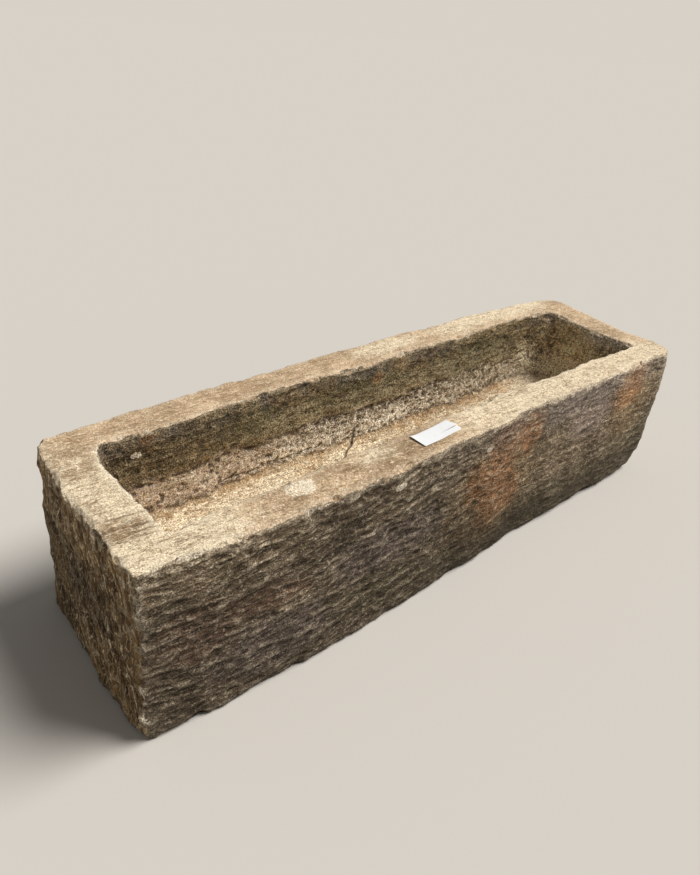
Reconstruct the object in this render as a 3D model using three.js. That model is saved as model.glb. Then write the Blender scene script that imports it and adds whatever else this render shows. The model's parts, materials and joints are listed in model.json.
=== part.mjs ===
// A stone trough planter, hewn from one block, with a blank paper tag on its front rim.
// Millimetres. X runs along the trough to the right, Y from the front to the back, Z up.
// The origin is on the ground, at the centre of the block's foot.

import * as THREE from "three";

// The block's outside
const length = 1600;
const width = 434;
const height = 390;
const cornerRadius = 24;
const footRound = 13;
const rimRound = 5;

// How far the hewn sides swell or hollow from straight lines
const sideBow = 40;
const endBow = 30;
const leftLean = 15;
const rightBarrel = 20;

// The cavity
const rimFront = 77;
const rimRear = 60;
const rimLeft = 88;
const rimRight = 95;
const cavityDepth = 190;
const wallBatter = 32;
const lipCorner = 20;
const floorCorner = 52;
const lipBow = 10;
const lipRound = 5;
const floorRound = 22;

// The mason's unevenness: broad hollows and tool courses in the walls, and wear on the rim
const hewnPitch = 260;
const hewnDepth = 3.5;
const coursePitch = 110;
const courseDepth = 3.2;
const wearPitch = 310;
const wearDepth = 4;

// The paper tag
const tagLength = 121;
const tagWidth = 44;
const tagThick = 0.5;
const tagGap = 0.3;
const tagFlatReach = 30;
const tagTurn = THREE.MathUtils.degToRad(3.8);
const tagPlaceShare = -0.073;
const tagAcrossShare = 0.55;

// Colours
const stoneColour = 0x8b7a66;
const paperColour = 0xeeece6;

// How finely the block is divided
const longSteps = 48;
const shortSteps = 13;
const cornerSteps = 4;
const roundSteps = 3;
const wallRows = 18;
const rimRows = 3;
const cavityRows = 8;

// Shares of a bow along a side, evenly spaced from its left or front end to the other
const frontBowShares = [-0.1, 0.3, 0.45, 0.4, 0.25, 0.0, 0.1, 0.1, 0.15];
const rearBowShares = [0.45, 0.7, 0.8, 0.95, 1.0, 0.95, 1.0, 0.75, 0.25];
const leftBowShares = [-0.15, 0.05, 0.2, 0.2, 0.15, 0.05, -0.15];
const rightBowShares = [-0.3, 0.1, -0.4, -0.2, 0.25, 0.65, 1.0];
const frontLipShares = [0.9, 0.2, -0.2, -0.5, -0.8, -0.9, -0.6, -0.2, 0.2];
const rearLipShares = [0.2, -0.5, 0.5, 0.2, -0.5, 0.1, -0.2, 0.7, -0.4];
const leftLipShares = [-0.6, 0.0, 0.3, 0.2, 0.1, 0.0, -1.0];
const rightLipShares = [0.9, 0.4, -0.9, -0.7, -0.1, 0.8, 2.0];

// Shares of the right end's barrel from the foot to the rim, and of the foot's rounding by length
const barrelShares = [-0.8, 0.4, 0.8, 1.2, 1.0, 0.45, -0.1];
const footRoundShares = [0.9, 0.9, 0.8, 0.9, 1.0, 1.2, 1.7, 1.9, 2.0];

// Shares of a corner's radius: front right, rear right, rear left, front left
const outerCornerShares = [1.7, 2.1, 1.1, 0.35];
const lipCornerShares = [0.5, 1.9, 0.8, 0.8];
const floorCornerShares = [1.0, 1.8, 1.0, 0.9];

// The foot's rounding takes at most this share of the radius of the corners at its end
const footLimitShare = 0.7;

// A bow fades along the neighbouring sides by this power of the distance from the middle
const bowFadePower = 4;

// Three waves make the unevenness: shares of its pitch and depth, and of a turn for slant and start
const wavePitchShares = [1, 0.63, 0.42];
const waveDepthShares = [0.5, 0.3, 0.2];
const waveSlantShares = [0.04, 0.19, 0.31];
const waveStartShares = [0.1, 0.45, 0.8];

// A tool course is this share as high as it is long
const courseHeightShare = 0.55;
const fullTurn = 2 * Math.PI;
const quarterTurn = Math.PI / 2;

// The torn right end of the tag, from its front corner to its back one, as shares of its width
const tornShares = [0.0, 0.03, -0.02, 0.05, -0.06, 0.02, -0.03, 0.04];

// Reads a row of evenly spaced shares at a place from -1 to 1, with smooth steps between them.
function shareAt(shares, place) {
  const last = shares.length - 1;
  const at = THREE.MathUtils.clamp((place + 1) / 2, 0, 1) * last;
  const low = Math.min(Math.floor(at), last - 1);
  const blend = THREE.MathUtils.smoothstep(at - low, 0, 1);
  return THREE.MathUtils.lerp(shares[low], shares[low + 1], blend);
}

// The sum of three slanted waves over a surface with the coordinates u and v, from -1 to 1.
function waves(u, v, pitch) {
  let sum = 0;
  wavePitchShares.forEach((pitchShare, i) => {
    const slant = fullTurn * waveSlantShares[i];
    const travel = u * Math.cos(slant) + v * Math.sin(slant);
    const phase = travel / (pitch * pitchShare) + waveStartShares[i];
    sum += waveDepthShares[i] * Math.sin(fullTurn * phase);
  });
  return sum;
}

// A rectangle with round corners, anticlockwise from the left end of the front side. Each point
// keeps its outward direction and its place across the rectangle, from -1 to 1 each way.
function roundedRectangle(sides, radius, cornerShares) {
  const { left, right, front, rear } = sides;
  const corners = [[right, front], [right, rear], [left, rear], [left, front]];
  const headings = [[1, 0], [0, 1], [-1, 0], [0, -1]];
  const centre = [(left + right) / 2, (front + rear) / 2];
  const half = [(right - left) / 2, (rear - front) / 2];
  const points = [];

  function add(x, y, nx, ny) {
    points.push({ x, y, nx, ny, sx: (x - centre[0]) / half[0], sy: (y - centre[1]) / half[1] });
  }

  headings.forEach(([dx, dy], side) => {
    const [ex, ey] = headings[(side + 1) % 4];
    const [fromX, fromY] = corners[(side + 3) % 4];
    const [toX, toY] = corners[side];
    const fromRadius = radius * cornerShares[(side + 3) % 4];
    const toRadius = radius * cornerShares[side];
    const steps = side % 2 === 0 ? longSteps : shortSteps;
    for (let i = 0; i <= steps; i += 1) {
      const x = THREE.MathUtils.lerp(fromX + fromRadius * dx, toX - toRadius * dx, i / steps);
      const y = THREE.MathUtils.lerp(fromY + fromRadius * dy, toY - toRadius * dy, i / steps);
      add(x, y, -ex, -ey);
    }
    for (let i = 1; i < cornerSteps; i += 1) {
      const angle = (i / cornerSteps) * quarterTurn;
      const nx = Math.sin(angle) * dx - Math.cos(angle) * ex;
      const ny = Math.sin(angle) * dy - Math.cos(angle) * ey;
      add(toX + toRadius * (ex - dx + nx), toY + toRadius * (ey - dy + ny), nx, ny);
    }
  });
  return points;
}

// Moves a point of a plan outwards by the bows of the sides that it lies near.
function bowed(point, bows, longBow, shortBow, leans) {
  const long = point.sy > 0 ? bows.rear : bows.front;
  const short = point.sx > 0 ? bows.right : bows.left;
  const lean = point.sx > 0 ? leans.right : leans.left;
  const outY = longBow * shareAt(long, point.sx) * Math.abs(point.sy) ** bowFadePower;
  const outX = (shortBow * shareAt(short, point.sy) + lean) * Math.abs(point.sx) ** bowFadePower;
  return [point.x + Math.sign(point.sx) * outX, point.y + Math.sign(point.sy) * outY];
}

const outerSides = { left: -length / 2, right: length / 2, front: -width / 2, rear: width / 2 };
const lipSides = {
  left: outerSides.left + rimLeft,
  right: outerSides.right - rimRight,
  front: outerSides.front + rimFront,
  rear: outerSides.rear - rimRear,
};
const floorSides = {
  left: lipSides.left + wallBatter,
  right: lipSides.right - wallBatter,
  front: lipSides.front + wallBatter,
  rear: lipSides.rear - wallBatter,
};
const outerBows = {
  front: frontBowShares,
  rear: rearBowShares,
  left: leftBowShares,
  right: rightBowShares,
};
const lipBows = {
  front: frontLipShares,
  rear: rearLipShares,
  left: leftLipShares,
  right: rightLipShares,
};
const noLean = { left: 0, right: 0 };
const floorHeight = height - cavityDepth;
const tagCentre = [length * tagPlaceShare, outerSides.front + rimFront * tagAcrossShare];

const outerPlan = roundedRectangle(outerSides, cornerRadius, outerCornerShares);
const lipPlan = roundedRectangle(lipSides, lipCorner, lipCornerShares);
const floorPlan = roundedRectangle(floorSides, floorCorner, floorCornerShares);

// How far the mason left a wall's surface proud or hollow, at a place along it and up it.
function hewn(along, z) {
  const broad = hewnDepth * waves(along, z, hewnPitch);
  return broad + courseDepth * waves(along, z / courseHeightShare, coursePitch);
}

// A point on the block's outside at height z, drawn in by inset where an edge is rounded.
function outerPoint(point, z, inset) {
  const up = z / height;
  const leans = {
    left: leftLean * (1 - up),
    right: rightBarrel * shareAt(barrelShares, 2 * up - 1),
  };
  const [x, y] = bowed(point, outerBows, sideBow, endBow, leans);
  const out = hewn(x - y, z) - inset;
  return new THREE.Vector3(x + point.nx * out, y + point.ny * out, z);
}

// A point on the cavity's wall, down by a share of the way from the lip to the floor.
function cavityPoint(index, down, z, inset) {
  const lip = lipPlan[index];
  const floor = floorPlan[index];
  const [lipX, lipY] = bowed(lip, lipBows, lipBow, lipBow, noLean);
  const [floorX, floorY] = bowed(floor, lipBows, lipBow, lipBow, noLean);
  const x = THREE.MathUtils.lerp(lipX, floorX, down);
  const y = THREE.MathUtils.lerp(lipY, floorY, down);
  const out = hewn(x + y, z) - inset;
  return new THREE.Vector3(x + lip.nx * out, y + lip.ny * out, z);
}

// How far the rim is worn below its full height at a place. It is flat under the tag.
function rimWear(x, y) {
  const away = Math.hypot(x - tagCentre[0], y - tagCentre[1]);
  const near = (tagLength + tagWidth) / 2;
  const fade = THREE.MathUtils.smoothstep(away, near, near + tagFlatReach);
  return (fade * wearDepth * (1 + waves(x, y, wearPitch))) / 2;
}

// The radius of the foot's rounding at a point of the plan, which its corners limit.
function footRadius(point) {
  const [frontRight, rearRight, rearLeft, frontLeft] = outerCornerShares;
  const leftShare = Math.min(rearLeft, frontLeft);
  const rightShare = Math.min(frontRight, rearRight);
  const cornerShare = THREE.MathUtils.lerp(leftShare, rightShare, (point.sx + 1) / 2);
  const wanted = footRound * shareAt(footRoundShares, point.sx);
  return Math.min(wanted, footLimitShare * cornerRadius * cornerShare);
}

// The outer wall, from the underside's edge round the foot and up to the rim's rounded edge.
function outerRings() {
  const top = height - rimRound - wearDepth;
  const rings = [];
  for (let i = 0; i < roundSteps; i += 1) {
    const angle = (1 - i / roundSteps) * quarterTurn;
    rings.push(outerPlan.map((point) => {
      const radius = footRadius(point);
      return outerPoint(point, radius * (1 - Math.sin(angle)), radius * (1 - Math.cos(angle)));
    }));
  }
  for (let row = 0; row <= wallRows; row += 1) {
    rings.push(outerPlan.map((point) => {
      const z = THREE.MathUtils.lerp(footRadius(point), top, row / wallRows);
      return outerPoint(point, z, 0);
    }));
  }
  return rings;
}

// The rim, from the outer wall's top ring over its rounded edges to the cavity's top ring.
function rimRings(wallTop, cavityTop) {
  const rings = [];
  const onRim = (x, y, drop) => new THREE.Vector3(x, y, height - rimWear(x, y) - drop);
  for (let i = 1; i <= roundSteps; i += 1) {
    const angle = (i / roundSteps) * quarterTurn;
    rings.push(wallTop.map((at, k) => {
      const inset = rimRound * (1 - Math.cos(angle));
      const { nx, ny } = outerPlan[k];
      return onRim(at.x - nx * inset, at.y - ny * inset, rimRound * (1 - Math.sin(angle)));
    }));
  }
  const outerEdge = rings[rings.length - 1];
  const lipEdge = cavityTop.map((at, k) => {
    const { nx, ny } = lipPlan[k];
    return onRim(at.x + nx * lipRound, at.y + ny * lipRound, 0);
  });
  for (let row = 1; row < rimRows; row += 1) {
    rings.push(outerEdge.map((at, k) => {
      const x = THREE.MathUtils.lerp(at.x, lipEdge[k].x, row / rimRows);
      const y = THREE.MathUtils.lerp(at.y, lipEdge[k].y, row / rimRows);
      return onRim(x, y, 0);
    }));
  }
  for (let i = 0; i < roundSteps; i += 1) {
    const angle = (i / roundSteps) * quarterTurn;
    rings.push(cavityTop.map((at, k) => {
      const outset = lipRound * (1 - Math.sin(angle));
      const { nx, ny } = lipPlan[k];
      return onRim(at.x + nx * outset, at.y + ny * outset, lipRound * (1 - Math.cos(angle)));
    }));
  }
  return rings;
}

// The cavity's walls, from under the lip down to the edge of the floor.
function cavityRings() {
  const top = height - lipRound - wearDepth;
  const bottom = floorHeight + floorRound;
  const rings = [];
  for (let row = 0; row <= cavityRows; row += 1) {
    const z = THREE.MathUtils.lerp(top, bottom, row / cavityRows);
    rings.push(lipPlan.map((point, k) => cavityPoint(k, (height - z) / cavityDepth, z, 0)));
  }
  const lowest = (height - bottom) / cavityDepth;
  for (let i = 1; i <= roundSteps; i += 1) {
    const angle = (i / roundSteps) * quarterTurn;
    const inset = floorRound * (1 - Math.cos(angle));
    const drop = floorRound * Math.sin(angle);
    rings.push(lipPlan.map((point, k) => {
      const at = cavityPoint(k, lowest, bottom, inset);
      return at.setZ(bottom - drop);
    }));
  }
  return rings;
}

// Joins rings of equal length into a skin, and closes it with a flat cap at each end.
function closedSkin(rings) {
  const count = rings[0].length;
  const positions = rings.flat().flatMap((at) => [at.x, at.y, at.z]);
  const indices = [];
  for (let r = 0; r < rings.length - 1; r += 1) {
    for (let i = 0; i < count; i += 1) {
      const here = r * count + i;
      const next = r * count + ((i + 1) % count);
      indices.push(here, next, next + count);
      indices.push(here, next + count, here + count);
    }
  }
  const lastStart = (rings.length - 1) * count;
  const flat = (ring) => ring.map((at) => new THREE.Vector2(at.x, at.y));
  THREE.ShapeUtils.triangulateShape(flat(rings[0]), []).forEach(([a, b, c]) => {
    indices.push(a, c, b);
  });
  THREE.ShapeUtils.triangulateShape(flat(rings[rings.length - 1]), []).forEach(([a, b, c]) => {
    indices.push(lastStart + a, lastStart + b, lastStart + c);
  });
  const geometry = new THREE.BufferGeometry();
  geometry.setAttribute("position", new THREE.Float32BufferAttribute(positions, 3));
  geometry.setIndex(indices);
  geometry.computeVertexNormals();
  return geometry;
}

// The block: one skin round the foot, up the outside, over the rim and down to the cavity's floor.
function troughBlock() {
  const outside = outerRings();
  const cavity = cavityRings();
  const rim = rimRings(outside[outside.length - 1], cavity[0]);
  const stone = new THREE.MeshStandardMaterial({ color: stoneColour, roughness: 0.92, metalness: 0 });
  const mesh = new THREE.Mesh(closedSkin([...outside, ...rim, ...cavity]), stone);
  mesh.name = "trough_block";
  return mesh;
}

// The tag: a thin strip of paper that lies on the rim, with a torn right end.
function paperTag() {
  const halfLength = tagLength / 2;
  const halfWidth = tagWidth / 2;
  const outline = new THREE.Shape();
  outline.moveTo(-halfLength, halfWidth);
  outline.lineTo(-halfLength, -halfWidth);
  tornShares.forEach((share, i) => {
    const across = i / (tornShares.length - 1);
    outline.lineTo(halfLength + tagWidth * share, THREE.MathUtils.lerp(-halfWidth, halfWidth, across));
  });
  outline.closePath();
  const geometry = new THREE.ExtrudeGeometry(outline, { depth: tagThick, bevelEnabled: false });
  const paper = new THREE.MeshStandardMaterial({ color: paperColour, roughness: 0.85, metalness: 0 });
  const mesh = new THREE.Mesh(geometry, paper);
  mesh.name = "paper_tag";
  mesh.rotation.z = tagTurn;
  mesh.position.set(tagCentre[0], tagCentre[1], height + tagGap);
  return mesh;
}

const block = troughBlock();
const tag = paperTag();
block.geometry.computeBoundingBox();
const middle = block.geometry.boundingBox.getCenter(new THREE.Vector3());

const trough = new THREE.Group();
trough.add(block, tag);
trough.position.set(-middle.x, -middle.y, 0);

export default trough;
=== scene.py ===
"""The looks of the stone trough planter: its hewn and weathered surface, and its paper tag."""

import json
import math
from itertools import product

import bmesh
import bpy
import numpy as np
from mathutils import Matrix, Vector


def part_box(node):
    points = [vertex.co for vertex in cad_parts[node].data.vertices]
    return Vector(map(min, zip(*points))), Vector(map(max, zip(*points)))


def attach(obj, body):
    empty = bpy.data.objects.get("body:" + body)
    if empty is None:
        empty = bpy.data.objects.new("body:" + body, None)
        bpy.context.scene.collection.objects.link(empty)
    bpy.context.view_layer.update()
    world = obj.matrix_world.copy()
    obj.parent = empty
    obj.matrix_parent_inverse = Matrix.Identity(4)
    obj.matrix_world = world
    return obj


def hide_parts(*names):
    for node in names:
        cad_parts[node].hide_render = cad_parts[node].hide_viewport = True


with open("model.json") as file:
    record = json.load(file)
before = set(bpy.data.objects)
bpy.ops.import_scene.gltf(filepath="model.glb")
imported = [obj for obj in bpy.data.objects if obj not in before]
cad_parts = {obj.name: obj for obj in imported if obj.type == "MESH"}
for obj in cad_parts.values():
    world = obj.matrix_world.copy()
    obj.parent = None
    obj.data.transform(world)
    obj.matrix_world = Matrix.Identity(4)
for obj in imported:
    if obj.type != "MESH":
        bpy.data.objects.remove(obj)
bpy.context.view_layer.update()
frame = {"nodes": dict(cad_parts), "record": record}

MM = 0.001
FAR_AWAY = 9.0
BLOCK_LOW, BLOCK_HIGH = (np.array(corner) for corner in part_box("trough_block"))
TAG_LOW, TAG_HIGH = (np.array(corner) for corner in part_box("paper_tag"))
TAG_MIDDLE = (TAG_LOW + TAG_HIGH) / 2
MOUNTS = {mount["name"]: mount["pos_m"] for mount in frame["record"]["mounts"]}
TOP = BLOCK_HIGH[2]
FLOOR = MOUNTS["cavity_floor"][2]

# The camera, fitted to the corners of the rim, the lip and the foot in the photograph
PHOTO_HEIGHT_PX = 875
FOCAL_PX = 676.0
SENSOR = 36.0
CAMERA_PLACE = (-1.0691, -0.962, 1.103)
CAMERA_YAW, CAMERA_PITCH, CAMERA_ROLL = (math.radians(a) for a in (42.119, 31.565, 4.859))

# Light and ground, in plain colours
GROUND_COLOUR = (0.686, 0.638, 0.571)
GROUND_BOUNCE = (0.34, 0.32, 0.29)
BACKDROP_COLOUR = (0.686, 0.638, 0.571)
SKY_STRENGTH = 0.215
SUN_STRENGTH, SUN_SOFTNESS = 3.22, math.radians(30)
SUN_FROM = (0.84, -0.43, 1.3)

# The stone's mesh, and the least share of a face's relief that counts
VOXEL = 3.0 * MM
FACET_SMOOTHING = 7
LEAST_SHARE = 0.004

# Half way through the walls, between the outer faces and the cavity's
CAVITY_BOX = [np.array(corner) for corner in frame["record"]["physics"]["openings"][0]["box_m"]]
CAVITY_LOW = (BLOCK_LOW + CAVITY_BOX[0]) / 2
CAVITY_HIGH = (BLOCK_HIGH + CAVITY_BOX[1]) / 2

# Where the cavity's walls turn strongly pitted, going down
PITTED_TOP = 0.281
PITTED_STEP = 2.4 * MM

# Where they turn from smooth to rough, from left to right
ROUGH_FROM = (-0.46, -0.16)

# Depths of the worn edges, of the streaks in the rim, and of the deepest chip
EDGE_WEAR = 7.0 * MM
STREAK_DEPTH = 1.8 * MM
DEEPEST_CHIP = 7.0 * MM

# Heights above and below which a point is near the upper or the lower edges
NEAR_TOP, NEAR_FOOT = TOP - 20 * MM, 30 * MM

# Chips along the upper, the lower and the upright edges: how many, and their radii in mm
CHIPS = {"upper": (210, 4, 14), "lower": (90, 7, 22), "upright": (40, 5, 14)}

# Half the size of the calm part of the rim round the tag, and how far chips keep off
TAG_CALM = (0.105, 0.062, 0.03)
TAG_CHIP_FREE = 90 * MM

# The crack across the cavity's floor, from the foot of its back wall, seen from above
CRACK_X = (-0.066, -0.092, -0.104, -0.132, -0.15, -0.172)
CRACK_Y = (0.125, 0.11, 0.098, 0.084, 0.066, 0.056)
CRACK_WIDTH, CRACK_DEPTH, CRACK_RISE = 4.6 * MM, 5.0 * MM, 40 * MM

# Grooves along the back wall's foot: from and to X, their middle's Y and Z, half width and depth
GROOVES = (
    ((-0.51, -0.157), (None, 0.219), (3.5 * MM, 4.0 * MM)),
    ((-0.46, -0.217), (0.116, 0.202), (4.0 * MM, 4.0 * MM)),
)

# Patches on the walls: middle, reach along each axis, seed, and raggedness if it isn't usual
RUST = (
    ((0.055, -0.24, 0.22), (0.085, 0.06, 0.16), 21),
    ((0.065, -0.24, 0.34), (0.085, 0.06, 0.055), 29),
    ((0.165, -0.24, 0.32), (0.05, 0.06, 0.08), 25),
    ((-0.03, -0.24, 0.25), (0.045, 0.06, 0.07), 26),
    ((0.115, -0.24, 0.17), (0.055, 0.06, 0.07), 30),
    ((0.585, -0.22, 0.33), (0.09, 0.06, 0.09), 22),
    ((-0.615, 0.13, 0.369), (0.024, 0.05, 0.018), 23),
    ((-0.005, 0.13, 0.349), (0.028, 0.05, 0.02), 24),
)
PALE = (
    ((-0.28, -0.24, 0.352), (0.02, 0.03, 0.013), 31),
    ((0.001, -0.24, 0.335), (0.016, 0.03, 0.01), 34),
    ((-0.642, 0.13, 0.342), (0.013, 0.03, 0.01), 33, 0.8),
)
GOLD = (
    ((0.05, -0.24, 0.19), (0.21, 0.06, 0.2), 27),
    ((0.62, -0.24, 0.27), (0.12, 0.06, 0.14), 28),
    ((-0.35, 0.24, 0.22), (0.22, 0.06, 0.18), 29),
)
RED = (
    ((-0.71, -0.22, 0.21), (0.1, 0.07, 0.09), 61),
    ((-0.58, -0.22, 0.23), (0.12, 0.07, 0.05), 62),
    ((-0.6, 0.22, 0.2), (0.2, 0.07, 0.12), 63),
    ((0.84, 0.1, 0.15), (0.05, 0.14, 0.1), 64),
    ((0.05, -0.22, 0.355), (0.09, 0.07, 0.05), 65),
)
PURPLE = (
    ((-0.56, -0.22, 0.11), (0.17, 0.07, 0.1), 66),
    ((-0.3, -0.22, 0.21), (0.2, 0.07, 0.08), 67),
    ((0.4, -0.22, 0.35), (0.28, 0.07, 0.06), 68),
    ((0.2, 0.22, 0.24), (0.3, 0.07, 0.1), 69),
    ((0.42, -0.22, 0.28), (0.12, 0.07, 0.07), 70),
)
DUSK = (
    ((-0.82, 0.01, 0.24), (0.06, 0.09, 0.09), 101),
    ((-0.82, -0.09, 0.21), (0.06, 0.06, 0.09), 102),
    ((0.82, 0.08, 0.22), (0.06, 0.1, 0.09), 103),
    ((-0.62, 0.12, 0.325), (0.12, 0.05, 0.045), 104),
    ((-0.47, 0.12, 0.35), (0.12, 0.05, 0.05), 105),
    ((-0.03, -0.22, 0.115), (0.12, 0.07, 0.06), 106),
    ((0.12, -0.22, 0.045), (0.11, 0.07, 0.06), 107),
    ((0.6, -0.22, 0.19), (0.08, 0.07, 0.06), 108),
)
OLIVE = (
    ((0.66, -0.22, 0.12), (0.18, 0.07, 0.11), 91),
    ((0.36, -0.22, 0.08), (0.16, 0.07, 0.07), 92),
    ((-0.1, -0.22, 0.07), (0.3, 0.07, 0.06), 94),
    ((-0.34, -0.22, 0.11), (0.16, 0.07, 0.06), 93),
    ((0.14, -0.22, 0.06), (0.28, 0.07, 0.07), 99),
    ((-0.3, 0.22, 0.12), (0.4, 0.07, 0.1), 95),
    ((-0.38, 0.12, 0.335), (0.16, 0.05, 0.05), 96),
    ((-0.08, 0.12, 0.335), (0.22, 0.05, 0.05), 97),
    ((0.38, 0.12, 0.325), (0.28, 0.05, 0.06), 98),
)

# Patches on the rim, and two of CREAM on the cavity's floor
LICHEN = (((-0.474, -0.182, 0.39), (0.04, 0.026, 0.03), 32),)
CREAM = (
    ((-0.78, 0.02, 0.39), (0.08, 0.17, 0.05), 57),
    ((-0.73, -0.19, 0.39), (0.18, 0.08, 0.05), 51),
    ((-0.69, -0.2, 0.39), (0.1, 0.05, 0.05), 58),
    ((-0.79, -0.2, 0.39), (0.07, 0.06, 0.05), 59),
    ((-0.735, -0.02, 0.39), (0.05, 0.14, 0.05), 52),
    ((0.08, -0.185, 0.39), (0.2, 0.08, 0.05), 74),
    ((0.36, -0.185, 0.39), (0.24, 0.08, 0.05), 75),
    ((0.64, -0.185, 0.39), (0.18, 0.08, 0.05), 76),
    ((0.08, 0.2, 0.39), (0.16, 0.04, 0.05), 77),
    ((0.37, 0.2, 0.39), (0.16, 0.05, 0.05), 78),
    ((-0.07, 0.085, 0.2), (0.14, 0.05, 0.05), 79),
    ((-0.4, 0.075, 0.2), (0.14, 0.04, 0.05), 80),
    ((0.6, 0.21, 0.39), (0.22, 0.06, 0.05), 54),
    ((-0.28, -0.18, 0.39), (0.07, 0.03, 0.05), 55),
)
BROWN = (
    ((-0.387, -0.179, 0.39), (0.06, 0.026, 0.03), 41),
    ((-0.782, -0.113, 0.39), (0.052, 0.036, 0.03), 42),
    ((-0.22, -0.2, 0.39), (0.13, 0.05, 0.03), 50),
    ((0.69, -0.06, 0.39), (0.08, 0.06, 0.03), 44),
    ((-0.775, 0.11, 0.39), (0.075, 0.08, 0.03), 46),
    ((-0.62, -0.14, 0.39), (0.07, 0.016, 0.03), 48),
)
TORN = (
    ((-0.775, -0.115, 0.39), (0.058, 0.042, 0.03), 81),
    ((-0.7, -0.2, 0.39), (0.065, 0.016, 0.03), 82),
)
FLECKED = (
    ((-0.4, -0.22, 0.39), (0.26, 0.035, 0.04), 71),
    ((0.3, -0.22, 0.39), (0.2, 0.02, 0.04), 72),
    ((-0.8, 0.02, 0.39), (0.03, 0.16, 0.04), 73),
)

# Spots on the front that are brighter or darker: their X and Z, their reach, and how much
SHADES = (
    ((-0.52, 0.2), (0.15, 0.06), 0.8),
    ((-0.08, 0.21), (0.07, 0.04), 0.4),
    ((0.12, 0.2), (0.07, 0.06), -0.45),
    ((0.41, 0.285), (0.1, 0.06), 0.7),
    ((-0.23, 0.355), (0.1, 0.03), 0.5),
    ((0.12, 0.345), (0.07, 0.04), 0.3),
    ((-0.3, 0.29), (0.1, 0.08), 0.4),
    ((-0.38, 0.36), (0.08, 0.04), 0.3),
    ((0.7, 0.3), (0.08, 0.08), 0.5),
    ((-0.75, 0.28), (0.08, 0.05), -0.55),
)

# Each table's mask
PATCHES = {
    "rust": RUST,
    "pale": PALE,
    "lichen": LICHEN,
    "cream": CREAM,
    "brown": BROWN,
    "gold": GOLD,
    "torn": TORN,
    "flecked": FLECKED,
    "red": RED,
    "purple": PURPLE,
    "olive": OLIVE,
    "dusk": DUSK,
}

# The stone's colours, as it would look under plain light; some also paint shade, highlights or
# light, as noted
WALL_DARK = (0.092, 0.062, 0.035)
WALL_MID = (0.173, 0.123, 0.074)
WALL_PALE = (0.32, 0.24, 0.155)
# Painted highlight on the outer walls' crests and along their flakes' edges
WALL_PAINTED_HIGHLIGHT = (0.66, 0.54, 0.385)
# Dark streaks and a darker foot, and painted shade in hollows and under the ripples
WALL_DARKEST_AND_SHADE = (0.026, 0.016, 0.009)
WALL_PURPLE = (0.178, 0.132, 0.11)
WALL_OLIVE = (0.122, 0.1, 0.05)
WALL_RED = (0.17, 0.098, 0.06)
WALL_GOLD = (0.25, 0.16, 0.075)
END_DARK = (0.124, 0.067, 0.024)
END_STONE = (0.32, 0.192, 0.075)
END_HOLLOW = (0.034, 0.018, 0.007)
# Pale scratches on the ends, and painted highlight along their flakes' edges
END_SCRATCH_AND_HIGHLIGHT = (0.92, 0.74, 0.48)
RUST_COLOUR = (0.38, 0.18, 0.07)
RUST_DARK = (0.15, 0.068, 0.03)
SOOT_COLOUR = (0.17, 0.145, 0.125)
PIT_PINK = (0.6, 0.43, 0.29)
PIT_TAN = (0.52, 0.38, 0.23)
PIT_PALE = (0.98, 0.84, 0.64)
# Dark specks and pits, and painted shade in hollows and under the ledge
PIT_DARK_AND_SHADE = (0.07, 0.045, 0.024)
PIT_OLIVE = (0.25, 0.19, 0.105)
DAMP_DARK = (0.108, 0.07, 0.033)
DAMP_OLIVE = (0.275, 0.2, 0.094)
DAMP_GREEN = (0.12, 0.106, 0.045)
DAMP_GOLD = (0.42, 0.27, 0.125)
DAMP_PALE = (0.5, 0.4, 0.23)
FLOOR_TAN = (0.72, 0.5, 0.28)
FLOOR_PALE = (0.96, 0.79, 0.53)
FLOOR_DIM = (0.52, 0.48, 0.44)
FLOOR_BROWN = (0.32, 0.19, 0.085)
RIM_PALE = (0.78, 0.56, 0.345)
RIM_TAN = (0.54, 0.365, 0.21)
RIM_CREAM = (1.0, 0.825, 0.565)
RIM_BROWN = (0.31, 0.192, 0.095)
RIM_DARK = (0.17, 0.1, 0.05)
# Fresh pale stone; also painted highlight on the rim's crests and painted light on the floor's far
# end
FRESH_AND_PAINTED_LIGHT = (1.0, 0.87, 0.66)
CRACK_COLOUR = (0.06, 0.038, 0.02)
# Painted light: how much paler the cavity's far end is made, and the palest that it gets
PAINTED_LIGHT_FACTOR = (3.0, 3.3, 3.9)
PAINTED_LIGHT_MOST = (0.97, 0.84, 0.58)
PAPER = (0.93, 0.925, 0.91)
PAPER_DUST = (0.82, 0.78, 0.7)

# How bright a part of the outer walls is where its mask is 1
BRIGHT_MOST = 2.0

# Where each side lies in the square that the faces are laid out in: its axes, scale and place
ATLAS_SIZE = 2.06
ATLAS = {
    "rim": ((0, 1), 1.0, (0.0, 0.0)),
    "floor": ((0, 1), 1.0, (0.0, 0.0)),
    "front": ((0, 2), 1.0, (0.0, 0.51)),
    "back": ((0, 2), 1.0, (0.0, 0.92)),
    "inner_back": ((0, 2), 1.0, (0.0, 1.15)),
    "inner_front": ((0, 2), 1.0, (0.0, 1.38)),
    "left": ((2, 1), 1.0, (1.66, 0.0)),
    "right": ((2, 1), 1.0, (1.66, 0.51)),
    "inner_left": ((2, 1), 1.0, (1.48, 1.02)),
    "inner_right": ((2, 1), 1.0, (1.66, 1.5)),
    "under": ((0, 1), 0.17, (0.0, 1.85)),
}

# The paper tag
TAG_LENGTH, TAG_WIDTH, TAG_THICKNESS = 0.121, 0.044, 0.3 * MM
TAG_TURN = math.radians(3.8)
TAG_CURL = 4.0 * MM
TAG_STEPS, TAG_ROWS = 60, 25
TAG_SLIT = (0.375, 0.58)
TAG_SLIT_LIFT = 2.2 * MM

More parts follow.
